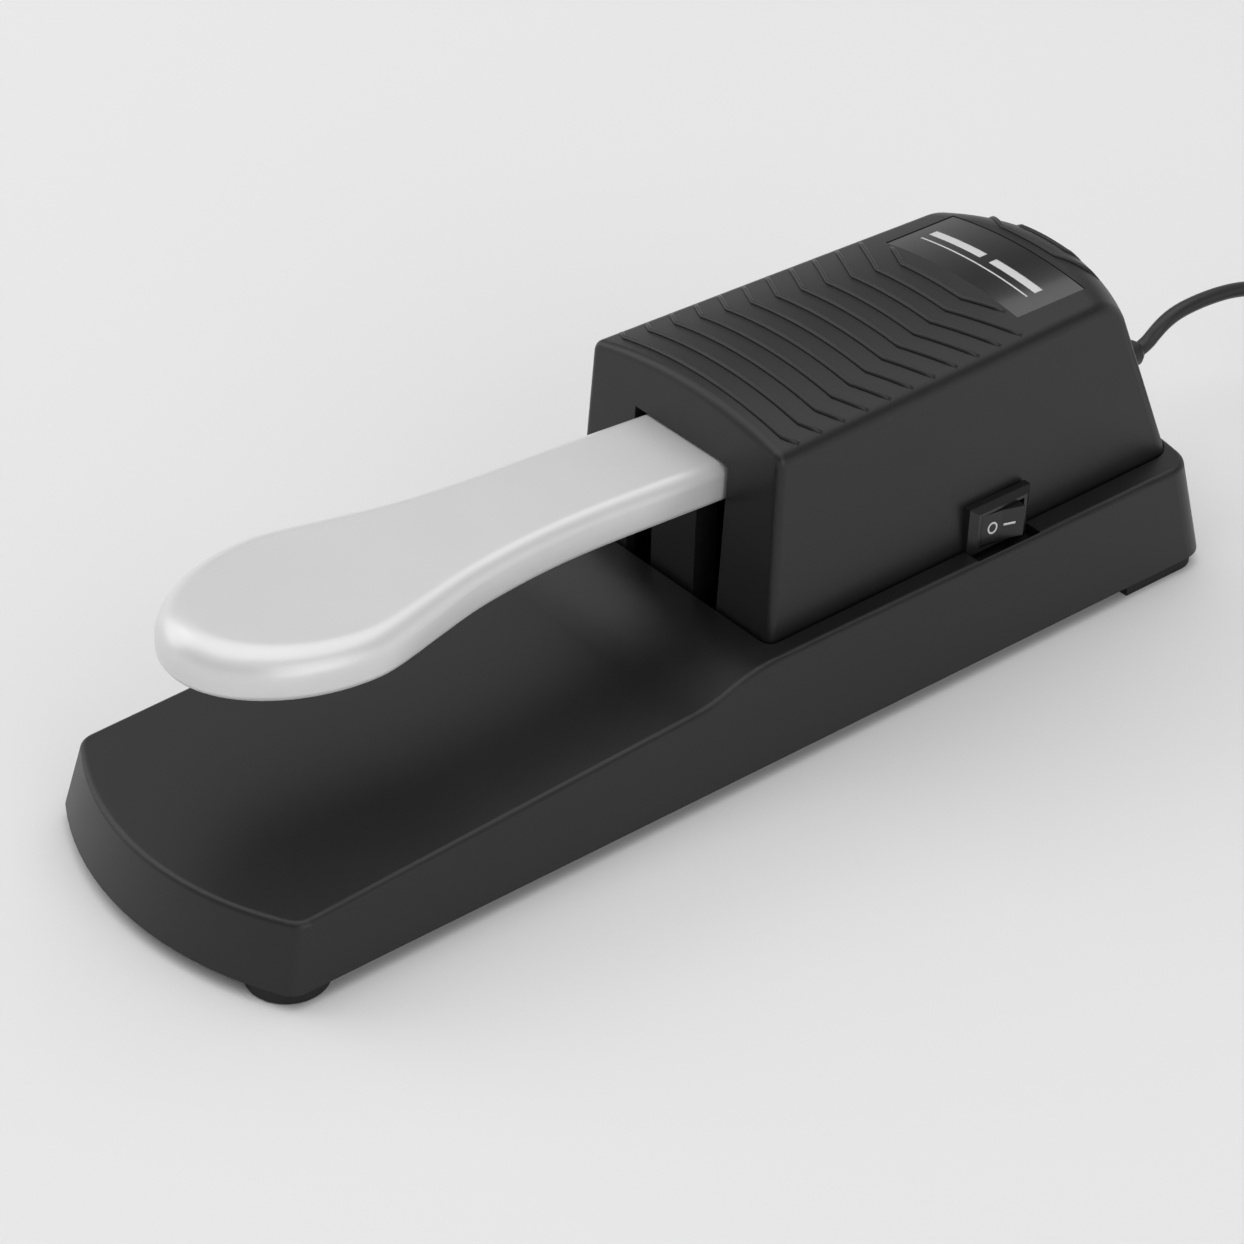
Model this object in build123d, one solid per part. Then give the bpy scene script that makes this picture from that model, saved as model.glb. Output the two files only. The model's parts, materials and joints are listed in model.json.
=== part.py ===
from build123d import *
import os
from math import pi, radians, tan

# Foot-operated sustain pedal. Millimetres. +Y runs from the paddle's tip to the cord's exit, +X is the side
# that carries the rocker switch, +Z is up. The origin is on the floor, under the middle of the base.

# Base
BASE_W = 37.2            # half-width at the rim
BASE_FRONT = -124.8      # rim's front apex
BASE_REAR = 124.8        # rim's rear apex
FRONT_SAG = 10.4         # how far the front edge bows out
REAR_SAG = 4.4
FRONT_R = 4.2            # plan corner radii
REAR_R = 7.0
RIM_Z = 3.2              # rim's height over the floor
REAR_Z = 24.8            # flat rear top, round the cover
TOP_FRONT_Z = 16.4       # foot rest's height at its front edge
RAMP_START = (-20.0, 21.1)
RAMP_END = (1.5, REAR_Z)
SIDE_DRAFT = 0.14        # inward lean per millimetre of height
FRONT_DRAFT = 0.24
REAR_DRAFT = 0.2
WALL = 2.4
DECK_BOTTOM = 8.0
DECK_TOP = 10.4
EDGE_R = 1.3             # soft edge round the base's top

# Cover
COVER_FRONT = 3.3
COVER_FRONT_TOP = 5.05
COVER_SEAM_Z = 24.0      # height where the drafted faces begin
COVER_TOP_Z = 68.5       # crown's height on the centre line
COVER_W_FRONT = 29.2
COVER_W_REAR = 27.6
COVER_W_FRONT_TOP = 27.7
COVER_W_REAR_TOP = 24.8
COVER_EDGE_Z = 64.8      # height where the top half-widths are measured
COVER_REAR = 116.0
COVER_REAR_TOP = 98.3
COVER_REAR_SAG = 2.4
COVER_REAR_SAG_TOP = 8.0
CROWN_RISE = 3.7
COVER_REAR_TOP_R = 11.0
COVER_EDGE_R = 2.8       # rear corners and the crown's long edges
COVER_FRONT_R = 1.6
COVER_WALL = 2.2
SEAM_GAP = 0.8
SKIRT_STEP = 0.2         # the straight skirt below the seam is set in by this much
SLOT_W = 13.7            # lever slot's half-width
SLOT_TOP = 56.7

# Lever
LEVER_W = 12.5           # half-width of its neck
LEVER_T = 1.4            # sheet thickness
LEVER_TIP = -113.1
PADDLE_W = 21.5
PADDLE_LEN = 29.8        # from the tip back to the widest place
LEVER_TOP_IN = 55.3      # top of the level part inside the cover
LEVER_BOTTOM_IN = 46.4
LEVER_END = 96.0
LEVER_EDGE_R = 2.9
PIVOT_Y = 86.0
PIVOT_Z = 47.0
PIN_R = 2.5
RUN_GAP = 0.05           # radial running clearance

# Spring and stops
SPRING_Y = 26.0
SPRING_R = 6.2
SPRING_WIRE_R = 0.65
SPRING_TURNS = 9
POST_W = 6.4             # half-width of the down-stop post
POST_Y = (3.6, 9.2)
POST_TOP = 45.0

# Microswitch
MICRO_Y = (46.2, 74.0)
MICRO_X = 5.15
MICRO_Z = (27.7, 43.6)
PLUNGER_Y = 63.6
PLUNGER_R = 1.5
PLUNGER_TOP = 47.1
PLATE_T = 1.5

# Rocker switch, on the cover's right wall
SW_Y = 63.8
SW_Z = 28.9
SW_FRAME_Y = 8.35        # half-length and half-height of its frame
SW_FRAME_Z = 5.7
SW_HOLE_Y = 5.9          # half-length and half-height of the rocker's opening
SW_HOLE_Z = 3.8
SW_BACK = 28.0           # plane that the frame seats on
SW_STEP = 29.6
SW_RIM = 30.7
SW_DEPTH = 12.0
KEY_PIVOT_X = 29.2
KEY_TILT = 13.0          # degrees either side of neutral

# Cord and plug
CORD_D = 3.3
CORD_R = CORD_D / 2
EXIT_Z = 28.8
EXIT_X = 0.0
BOOT_END = 134.4
COIL_CENTRE = (26.0, 216.0)
COIL_MID_R = 18.0
COIL_HALF_W = 6.8        # half of the bundle's width
COIL_H = 13.4
PLUG_R = 3.175           # standard 6.35 mm phone plug
PLUG_AXIS_Y = 250.0
PLUG_START_X = 14.0      # back face of its handle
HANDLE_R = 5.4
PLUG_HANDLE = 26.0
PLUG_BOOT = 7.0
PLUG_SLEEVE = 20.6
PLUG_RING = 0.8
PLUG_TIP = 8.6

BOOT_NECK_R = 2.9
BOOT_SHOULDER = 118.5
BUSH_R = 3.5
EAR_X = (8.2, 9.7)
PIN_END = 15.0
RING_X = (13.5, 14.1)
LABEL_X = 19.0
LABEL_Y = (75.2, 94.2)
LABEL_DEPTH = 0.8
STOP_FELT_Z = (56.2, 58.2)
PLATE_Z = (RIM_Z, 4.8)   # steel bottom plate

# Fastener places: (x, y), and (y, z) for the screws through the snap-action switch
BASE_SCREWS = [(-27, -96), (27, -96), (-27, -30), (27, -30), (-27, 108), (27, 108)]
COVER_SCREWS = [(-21, 14), (21, 14), (-20, 106), (20, 106)]
FOOT_PLACES = {"left": (-28.4, -109.8), "right": (28.4, -109.8)}
BRACKET_SCREWS = [(-4.5, 77.5), (4.5, 77.5), (-4.5, 96), (4.5, 96)]
PLATE_SCREWS = [(11.0, 52.0), (11.0, 68.5)]
POST_SCREWS = [(0.0, 13.5)]
MICRO_SCREWS = [(49.4, 31.0), (71.0, 40.2)]

os.makedirs("parts", exist_ok=True)


def save(name, shape):
    """Write one node."""
    solids = shape.solids()
    body = solids[0] if len(solids) == 1 else Compound(children=list(solids))
    export_step(body, os.path.join("parts", name + ".step"))


def block(x, y, z):
    """Box from three (low, high) pairs."""
    size = (x[1] - x[0], y[1] - y[0], z[1] - z[0])
    centre = ((x[0] + x[1]) / 2, (y[0] + y[1]) / 2, (z[0] + z[1]) / 2)
    return Pos(*centre) * Box(*size)


def post(x, y, z, radius):
    """Upright cylinder between two heights."""
    return Pos(x, y, (z[0] + z[1]) / 2) * Cylinder(radius, z[1] - z[0])


def rod_x(x, y, z, radius):
    """Cylinder along X between two places."""
    return Pos((x[0] + x[1]) / 2, y, z) * Rot(0, 90, 0) * Cylinder(radius, x[1] - x[0])


def rod_y(x, y, z, radius):
    """Cylinder along Y between two places."""
    return Pos(x, (y[0] + y[1]) / 2, z) * Rot(90, 0, 0) * Cylinder(radius, y[1] - y[0])


def side_plate(outline, half_width):
    """Closed outline in the YZ plane, extruded either side of the centre line."""
    face = make_face(Plane.YZ * outline)
    return extrude(face, half_width, both=True)


def bowed_outline(width, front, rear, front_sag, rear_sag, front_r, rear_r, z):
    """Plan outline with bowed ends and round corners, as a face at one height."""
    left_front, right_front = (-width, front + front_sag), (width, front + front_sag)
    right_rear, left_rear = (width, rear - rear_sag), (-width, rear - rear_sag)
    edges = Curve() + [
        ThreePointArc(left_front, (0, front), right_front),
        Line(right_front, right_rear),
        ThreePointArc(right_rear, (0, rear), left_rear),
        Line(left_rear, left_front),
    ]
    face = make_face(edges)
    ends = face.vertices().sort_by(Axis.Y)
    if front_r:
        face = fillet(ends[:2], front_r)
        ends = face.vertices().sort_by(Axis.Y)
    if rear_r:
        face = fillet(ends[-2:], rear_r)
    return Pos(0, 0, z) * face


def base_loft(inset, low, high):
    """Drafted solid between two heights, inset from the base's outside."""
    faces = []
    for z in (low, high):
        rise = z - RIM_Z
        faces.append(
            bowed_outline(
                BASE_W - SIDE_DRAFT * rise - inset,
                BASE_FRONT + FRONT_DRAFT * rise + inset,
                BASE_REAR - REAR_DRAFT * rise - inset,
                FRONT_SAG, REAR_SAG, FRONT_R, max(REAR_R - inset, 2), z,
            )
        )
    return loft(faces, ruled=True)


def foot_rest_slope():
    """Rise per millimetre of the foot rest towards the ramp."""
    return (RAMP_START[1] - TOP_FRONT_Z) / (RAMP_START[0] - (BASE_FRONT + 3))


def base_top_cut(drop):
    """Everything above the base's top surface, lowered by drop."""
    slope = foot_rest_slope()
    far = BASE_FRONT - 10
    front = (far, RAMP_START[1] + slope * (far - RAMP_START[0]) - drop)
    start = (RAMP_START[0], RAMP_START[1] - drop)
    end = (RAMP_END[0], RAMP_END[1] - drop)
    run = (end[0] - start[0]) * 0.45
    outline = Curve() + [
        Line(front, start),
        Bezier(start, (start[0] + run, start[1] + slope * run), (end[0] - run, end[1]), end),
        Polyline(end, (BASE_REAR + 10, end[1]), (BASE_REAR + 10, 60), (far, 60), front),
    ]
    return side_plate(outline, BASE_W + 10)


def cover_plan(gap, z):
    """Cover's plan outline at the seam, grown by gap."""
    front, rear = COVER_FRONT - gap, COVER_REAR + gap
    wide, narrow = COVER_W_FRONT + gap, COVER_W_REAR + gap
    edges = Curve() + [
        Polyline((-narrow, rear), (-wide, front), (wide, front), (narrow, rear)),
        ThreePointArc((narrow, rear), (0, rear + COVER_REAR_SAG), (-narrow, rear)),
    ]
    face = make_face(edges)
    ends = face.vertices().sort_by(Axis.Y)
    face = fillet(ends[:2], max(1.6 + gap, 0.5))
    ends = face.vertices().sort_by(Axis.Y)
    return Pos(0, 0, z) * fillet(ends[-2:], 6 + gap)


def base_shell():
    """Moulded base: sloping foot rest, deck and surround."""
    outer = base_loft(0, RIM_Z, 30) - base_top_cut(0)
    top_edges = outer.edges().filter_by(lambda e: e.center().Z > 15.5 and e.length > 3)
    outer = fillet(top_edges, EDGE_R)
    front_space = base_loft(WALL, RIM_Z, 30) - base_top_cut(WALL) - block((-60, 60), (-3, 140), (DECK_BOTTOM, 40))
    pocket = extrude(cover_plan(SEAM_GAP, DECK_TOP), 30, dir=(0, 0, 1))
    body = outer - front_space - pocket
    floor, lip = SW_Z - SW_FRAME_Z - 0.6, BASE_W - SIDE_DRAFT * (REAR_Z - RIM_Z) - 0.5
    scoop = Polyline((25, floor), (SW_RIM + 0.3, floor), (lip, REAR_Z + 0.1), (lip, 40), (25, 40), close=True)
    notch_face = make_face(Plane.XZ * scoop)
    body -= extrude(Pos(0, SW_Y + SW_FRAME_Y + 0.3, 0) * notch_face, 2 * SW_FRAME_Y + 0.6, dir=(0, -1, 0))
    for x, y in BASE_SCREWS:
        under = RAMP_START[1] + foot_rest_slope() * (y - RAMP_START[0]) - WALL
        top = DECK_BOTTOM + 0.5 if y > 0 else under + 1.2
        body += post(x, y, (PLATE_Z[1], top), 3.6)
        body -= post(x, y, (RIM_Z, top - 1), 1.25)
    for x, y in COVER_SCREWS:
        body -= post(x, y, (DECK_BOTTOM - 1, DECK_TOP + 1), 1.75)
    for x, y in BRACKET_SCREWS + PLATE_SCREWS + POST_SCREWS:
        body -= post(x, y, (DECK_BOTTOM - 1, DECK_TOP + 1), 1.3)
    return body


def bottom_plate():
    """Steel plate that closes the base and gives it weight."""
    face = bowed_outline(
        BASE_W - WALL - 0.6, BASE_FRONT + WALL + 1.0, BASE_REAR - WALL - 0.6, FRONT_SAG, REAR_SAG, FRONT_R, 5, PLATE_Z[0]
    )
    plate = extrude(face, PLATE_Z[1] - PLATE_Z[0], dir=(0, 0, 1))
    for x, y in BASE_SCREWS:
        plate -= post(x, y, (0, 10), 1.6)
    for x, y in COVER_SCREWS:
        plate -= post(x, y, (0, 10), 4.0)
    for x, y in FOOT_PLACES.values():
        plate -= post(x, y, (0, 10), 3.0)
    return plate


def pan_screw(x, y, seat, length, down=True, head_r=2.9, shank_r=1.25):
    """Pan-head screw. Its head sits on the face at seat; the shank runs down or up from it."""
    way = -1 if down else 1
    head = Pos(x, y, seat - way * 0.9) * Cylinder(head_r, 1.8)
    head = fillet(head.edges().sort_by(Axis.Z)[-1 if down else 0], 0.7)
    shank = Pos(x, y, seat + way * length / 2) * Cylinder(shank_r, length)
    slot_z = seat - way * 1.6
    cross = Pos(x, y, slot_z) * (Box(2.6, 0.6, 1.2) + Box(0.6, 2.6, 1.2))
    return head + shank - cross


def bottom_plate_screws():
    """Six screws from below into the base's bosses."""
    return Compound(children=[pan_screw(x, y, PLATE_Z[0], 4.2, down=False, head_r=2.6) for x, y in BASE_SCREWS])


def cover_screws():
    """Four screws from below, through the deck into the cover's bosses."""
    return Compound(
        children=[pan_screw(x, y, DECK_BOTTOM, 9, down=False, head_r=3.0, shank_r=1.3) for x, y in COVER_SCREWS]
    )


def front_foot(x, y):
    """Push-in rubber foot: disc, neck through the plate, and head."""
    disc = fillet((post(x, y, (0, PLATE_Z[0]), 8.0)).edges().sort_by(Axis.Z)[0], 0.8)
    neck = post(x, y, PLATE_Z, 2.9)
    head = Pos(x, y, PLATE_Z[1] + 1.1) * Cone(3.9, 2.4, 2.2)
    return disc + neck + head


def rear_foot_pad():
    """Rubber strip under the rear end."""
    face = bowed_outline(BASE_W - 1.1, BASE_FRONT, BASE_REAR - 1.1, FRONT_SAG, REAR_SAG, FRONT_R, 6, 0)
    pad = extrude(face, RIM_Z, dir=(0, 0, 1)) - block((-60, 60), (-140, 98), (-1, 10))
    for x, y in BASE_SCREWS[-2:] + COVER_SCREWS[-2:]:
        pad -= post(x, y, (-1, 10), 4.2)
    return pad


def cover_form(inset):
    """Cover's outside, or its inside when inset: drafted faces, crown and a slanted bowed rear."""
    def outline(z):
        t = (z - COVER_SEAM_Z) / (COVER_EDGE_Z - COVER_SEAM_Z)
        wide = COVER_W_FRONT + (COVER_W_FRONT_TOP - COVER_W_FRONT) * t - inset
        narrow = COVER_W_REAR + (COVER_W_REAR_TOP - COVER_W_REAR) * t - inset
        front = COVER_FRONT + (COVER_FRONT_TOP - COVER_FRONT) * t + inset
        rear = COVER_REAR + (COVER_REAR_TOP - COVER_REAR) * t - inset * 1.1
        sag = COVER_REAR_SAG + (COVER_REAR_SAG_TOP - COVER_REAR_SAG) * t
        edges = Curve() + [
            Polyline((-narrow, rear), (-wide, front), (wide, front), (narrow, rear)),
            ThreePointArc((narrow, rear), (0, rear + sag), (-narrow, rear)),
        ]
        return Pos(0, 0, z) * make_face(edges)

    drafted = loft([outline(COVER_SEAM_Z), outline(COVER_TOP_Z + 4)], ruled=True)
    half, top = COVER_W_FRONT_TOP + 6, COVER_TOP_Z - inset
    crown_r = (COVER_W_FRONT_TOP**2 + CROWN_RISE**2) / (2 * CROWN_RISE) - inset
    drop = crown_r - (crown_r**2 - half**2) ** 0.5
    crown = make_face(
        Plane.XZ
        * (
            Curve()
            + [
                ThreePointArc((-half, top - drop), (0, top), (half, top - drop)),
                Polyline((half, top - drop), (half, 0), (-half, 0), (-half, top - drop)),
            ]
        )
    )
    return drafted & extrude(Pos(0, 140, 0) * crown, 160, dir=(0, -1, 0))


def top_cover():
    """Moulded cover over the mechanism."""
    form = cover_form(0)
    rear_top = form.edges().filter_by(lambda e: e.center().Z > 60).sort_by(Axis.Y)[-1]
    form = fillet(rear_top, COVER_REAR_TOP_R)
    corners = form.edges().filter_by(lambda e: abs(e.tangent_at(0.5).Z) > 0.6 and e.length > 25)
    form = fillet(corners.filter_by(lambda e: e.center().Y > 50), COVER_EDGE_R)
    front_corners = form.edges().filter_by(
        lambda e: abs(e.tangent_at(0.5).Z) > 0.6 and e.length > 25 and e.center().Y < 10
    )
    form = fillet(front_corners, COVER_FRONT_R)
    skirt = extrude(cover_plan(-SKIRT_STEP, DECK_TOP + 0.2), COVER_SEAM_Z - DECK_TOP - 0.2, dir=(0, 0, 1))
    inner_plan = cover_plan(-COVER_WALL - 2 * SKIRT_STEP, DECK_TOP - 1)
    inner_skirt = extrude(inner_plan, COVER_SEAM_Z - DECK_TOP + 1, dir=(0, 0, 1))
    body = form + skirt - cover_form(COVER_WALL) - inner_skirt
    floor = DECK_TOP + 0.2
    for x, y in COVER_SCREWS:
        top = 40 if y < 60 else 28
        side = 1 if x > 0 else -1
        rib_x = sorted((x, side * (abs(x) + 6.6)))
        body += post(x, y, (floor, top), 3.3) + block(rib_x, (y - 0.8, y + 0.8), (floor, top))
        body -= post(x, y, (floor - 1, floor + 10), 1.3)
    body += block((-13, 13), (11, 13.4), (STOP_FELT_Z[1], COVER_TOP_Z - 1.5))
    body -= block((-SLOT_W, SLOT_W), (-5, COVER_FRONT_TOP + COVER_WALL + 1), (0, SLOT_TOP))
    body -= block((15, 40), (SW_Y - 6.9, SW_Y + 6.9), (SW_Z - 5.0, SW_Z + 5.0))
    body -= block(
        (SW_BACK, 40),
        (SW_Y - SW_FRAME_Y - 0.1, SW_Y + SW_FRAME_Y + 0.1),
        (SW_Z - SW_FRAME_Z - 0.1, SW_Z + SW_FRAME_Z + 0.1),
    )
    body -= crown_slice(-0.5, 0)
    body -= rod_y(EXIT_X, (100, 130), EXIT_Z, BOOT_NECK_R)
    return body


def crown_slice(top_inset, gap):
    """Slice of the crown over the label, from an inset below its surface down to the label's bed."""
    return (cover_form(top_inset) - cover_form(LABEL_DEPTH)) & block(
        (-LABEL_X + gap, LABEL_X - gap), (LABEL_Y[0] + gap, LABEL_Y[1] - gap), (60, 75)
    )


def label_plate():
    """Thin curved plate let into the crown."""
    return crown_slice(0.15, 0.1)


def lever_plan(inset):
    """Half-round paddle running into a straight neck."""
    centre = LEVER_TIP + PADDLE_LEN
    paddle, neck = PADDLE_W - inset, LEVER_W - inset
    waist = [(20.7, -77.5), (17.7, -66), (15.2, -56), (13.7, -46), (12.85, -36)]
    right = [(x - inset, y) for x, y in waist]
    left = [(-x, y) for x, y in reversed(right)]
    tip = EllipticalCenterArc((0, centre), paddle, PADDLE_LEN - inset, start_angle=180, arc_size=180)
    edges = Curve() + [
        tip,
        Spline([(paddle, centre), *right, (neck, -24)], tangents=[(0, 1), (0, 1)]),
        Polyline((neck, -24), (neck, LEVER_END), (-neck, LEVER_END), (-neck, -24)),
        Spline([(-neck, -24), *left, (-paddle, centre)], tangents=[(0, -1), (0, -1)]),
    ]
    return make_face(edges)


def lever_top(drop):
    """Side curve of the lever's top face, lowered by drop, from the tip to the inner end."""
    points = [(-125, 60.1), (-113, 59.75), (-85, 58.75), (-55, 58.25), (-25, 57.75), (6, 56.2), (24, LEVER_TOP_IN)]
    return Spline([(y, z - drop) for y, z in points], tangents=[(1, 0), (1, 0)])


def lever_band(drop, floor):
    """Solid between the lowered top curve and either the skirt's lower curve or a floor."""
    far, near = -125, 24
    top = LEVER_TOP_IN - drop
    if floor is None:
        lower = [(6, 47.3), (-40, 49.2), (-65, 49.1), (-90, 49.0), (-113, 50.2), (far, 50.5)]
        under = [
            Polyline((near, top), (LEVER_END + 5, top), (LEVER_END + 5, PIVOT_Z - 2), (LEVER_END - 4, PIVOT_Z - 6.5)),
            Polyline(
                (LEVER_END - 4, PIVOT_Z - 6.5), (PIVOT_Y - 6, PIVOT_Z - 6.5), (PIVOT_Y - 14, LEVER_BOTTOM_IN),
                (near, LEVER_BOTTOM_IN),
            ),
            Spline([(near, LEVER_BOTTOM_IN), *lower], tangents=[(-1, 0), (-1, 0)]),
            Line((far, 50.5), (far, 60.1 - drop)),
        ]
    else:
        under = [
            Polyline((near, top), (LEVER_END + 5, top), (LEVER_END + 5, floor), (far, floor), (far, 60.1 - drop)),
        ]
    return side_plate(Curve() + [lever_top(drop), *under], PADDLE_W + 8)


def pedal_lever():
    """Pressed lever: a shell with its skirt turned down all round, open underneath and at its inner end."""
    body = extrude(lever_plan(0), 80, dir=(0, 0, 1)) & lever_band(0, None)
    rim = body.edges().filter_by(lambda e: e.center().Z > 54.9 and e.center().Y < 90 and e.length > 2)
    rim = rim.filter_by(lambda e: abs(e.center().X) > 5 or e.center().Y < -80)
    body = fillet(rim, LEVER_EDGE_R)
    space = extrude(lever_plan(LEVER_T), 80, dir=(0, 0, 1)) & lever_band(LEVER_T, 30)
    body -= space
    body -= block((-LEVER_W + LEVER_T, LEVER_W - LEVER_T), (LEVER_END - 5, LEVER_END + 5), (30, LEVER_TOP_IN - LEVER_T))
    body -= rod_x((-30, 30), PIVOT_Y, PIVOT_Z, BUSH_R)
    body -= post(0, SPRING_Y, (50, 60), 1.5) + post(0, PLUNGER_Y, (50, 60), 1.5)
    return body


def lever_bush(side):
    """Flanged nylon bush in one skirt."""
    inner, outer = LEVER_W - LEVER_T, LEVER_W
    body = rod_x((inner, outer + 0.5), PIVOT_Y, PIVOT_Z, BUSH_R) + rod_x((inner - 1, inner), PIVOT_Y, PIVOT_Z, 5)
    body -= rod_x((0, 30), PIVOT_Y, PIVOT_Z, PIN_R + RUN_GAP)
    return body if side > 0 else mirror(body, about=Plane.YZ)


def pivot_bracket():
    """Folded steel bracket with two ears."""
    body = block((-EAR_X[1], EAR_X[1]), (74.2, 100), (DECK_TOP, DECK_TOP + PLATE_T))
    for low, high in ((EAR_X[0], EAR_X[1]), (-EAR_X[1], -EAR_X[0])):
        body += block((low, high), (76, 96), (DECK_TOP, 24)) + block((low, high), (79.5, 92.5), (20, PIVOT_Z))
        body += rod_x((low, high), PIVOT_Y, PIVOT_Z, 6.5)
    body -= rod_x((-30, 30), PIVOT_Y, PIVOT_Z, PIN_R)
    for x, y in BRACKET_SCREWS:
        body -= post(x, y, (0, 30), 1.5)
    return body


def pivot_pin():
    """Steel pin with a groove near each end."""
    body = rod_x((-PIN_END, PIN_END), PIVOT_Y, PIVOT_Z, PIN_R)
    body = chamfer(body.edges(), 0.4)
    for low, high in ((RING_X[0], RING_X[1]), (-RING_X[1], -RING_X[0])):
        body -= rod_x((low, high), PIVOT_Y, PIVOT_Z, 4) - rod_x((low - 1, high + 1), PIVOT_Y, PIVOT_Z, 1.9)
    return body


def pin_rings():
    """Two retaining rings, open at the bottom."""
    rings = []
    for low, high in ((RING_X[0], RING_X[1]), (-RING_X[1], -RING_X[0])):
        ring = rod_x((low, high), PIVOT_Y, PIVOT_Z, 4.6) - rod_x((low - 1, high + 1), PIVOT_Y, PIVOT_Z, 1.9)
        rings.append(ring - block((low - 1, high + 1), (PIVOT_Y - 1.3, PIVOT_Y + 1.3), (PIVOT_Z - 8, PIVOT_Z)))
    return Compound(children=rings)


def screws_down(places, seat, length):
    """Pan-head screws driven from above."""
    return Compound(children=[pan_screw(x, y, seat, length) for x, y in places])


def down_stop_post():
    """Moulded post under the lever's mouth, with a foot and a gusset."""
    body = block((-POST_W, POST_W), POST_Y, (DECK_TOP, POST_TOP))
    body += block((-POST_W, POST_W), (POST_Y[1] - 0.1, 17), (DECK_TOP, DECK_TOP + 2.4))
    body -= block((-POST_W + 2, POST_W - 2), (POST_Y[0] + 2, POST_Y[1] + 1), (DECK_TOP + 5, POST_TOP - 3))
    return body - post(*POST_SCREWS[0], (0, 30), 1.5)


def down_stop_felt():
    """Felt pad on the post."""
    return block((-POST_W + 0.6, POST_W - 0.6), (POST_Y[0] + 0.3, POST_Y[1] - 0.3), (POST_TOP, POST_TOP + 1))


def up_stop_felt():
    """Felt pad over the lever, under the cover's cross rib."""
    return block((-8, 8), (9.6, 15.2), STOP_FELT_Z)


def spring_seat():
    """Nylon cup for the spring's lower end."""
    body = post(0, SPRING_Y, (DECK_TOP, DECK_TOP + 2), 9.0) + post(0, SPRING_Y, (DECK_TOP, DECK_TOP + 9), 4.9)
    body += post(0, SPRING_Y, (DECK_TOP, DECK_TOP + 4.4), 9.0) - post(0, SPRING_Y, (DECK_TOP, DECK_TOP + 6), 7.4)
    return body


def spring_guide():
    """Stud riveted under the lever, inside the spring's upper end."""
    under = LEVER_TOP_IN - LEVER_T
    body = post(0, SPRING_Y, (under - 7, under), 4.7) + post(0, SPRING_Y, (under, LEVER_TOP_IN), 1.45)
    return body


def return_spring():
    """Compression spring with its axis upright."""
    low, high = DECK_TOP + 2 + SPRING_WIRE_R + 0.02, LEVER_TOP_IN - LEVER_T - SPRING_WIRE_R - 0.3
    path = Helix(pitch=(high - low) / SPRING_TURNS, height=high - low, radius=SPRING_R, center=(0, SPRING_Y, low))
    profile = Plane(origin=path @ 0, z_dir=path % 0) * Circle(SPRING_WIRE_R)
    return sweep(profile, path=path)


def micro_body():
    """Snap-action switch case with two mounting holes and a plunger well."""
    body = block((-MICRO_X, MICRO_X), MICRO_Y, MICRO_Z)
    body = fillet(body.edges().filter_by(Axis.X), 0.8)
    for y, z in MICRO_SCREWS:
        body -= rod_x((-10, 10), y, z, 1.5)
    body -= post(0, PLUNGER_Y, (37.5, 50), PLUNGER_R + RUN_GAP)
    return body


def micro_plunger():
    """Plunger that the lever's pad presses."""
    return post(0, PLUNGER_Y, (41, PLUNGER_TOP), PLUNGER_R)


def plunger_pad():
    """Nylon pad riveted under the lever, over the plunger."""
    under = LEVER_TOP_IN - LEVER_T
    return post(0, PLUNGER_Y, (PLUNGER_TOP + 0.3, under), 3.0) + post(0, PLUNGER_Y, (under, LEVER_TOP_IN), 1.45)


def micro_terminals():
    """Three blades under the snap-action switch."""
    blades = [block((-0.25, 0.25), (y - 1.6, y + 1.6), (21.5, MICRO_Z[0])) for y in (49.0, 58.0, 71.0)]
    return Compound(children=[blade - rod_x((-1, 1), blade.center().Y, 23.2, 0.7) for blade in blades])


def switch_plate():
    """Folded plate that carries the snap-action switch."""
    low, high = MICRO_X, MICRO_X + PLATE_T
    body = block((low, high), (MICRO_Y[0] + 0.5, MICRO_Y[1] - 0.5), (DECK_TOP, MICRO_Z[1] - 0.6))
    body += block((low, 14.4), (MICRO_Y[0] + 2, MICRO_Y[1] - 0.5), (DECK_TOP, DECK_TOP + PLATE_T))
    body -= block((low - 1, high + 1), (53.5, 71.2), (13.5, 25))
    for y, z in MICRO_SCREWS:
        body -= rod_x((0, 20), y, z, 1.5)
    for x, y in PLATE_SCREWS:
        body -= post(x, y, (0, 30), 1.5)
    return body


def micro_screws():
    """Two long screws through the switch and its plate."""
    parts = []
    for y, z in MICRO_SCREWS:
        head = fillet(rod_x((-MICRO_X - 1.9, -MICRO_X), y, z, 2.7).edges().sort_by(Axis.X)[0], 0.7)
        head -= block((-MICRO_X - 3, -MICRO_X - 1.0), (y - 2, y + 2), (z - 0.35, z + 0.35))
        parts.append(head + rod_x((-MICRO_X, MICRO_X + 5.0), y, z, 1.4))
    return Compound(children=parts)


def micro_nuts():
    """Hex nuts on those screws."""
    parts = []
    for y, z in MICRO_SCREWS:
        nut = Pos(MICRO_X + PLATE_T, y, z) * Rot(0, 90, 0) * extrude(RegularPolygon(2.9, 6), 2.2, dir=(0, 0, 1))
        parts.append(nut - rod_x((0, 20), y, z, 1.45))
    return Compound(children=parts)


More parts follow.
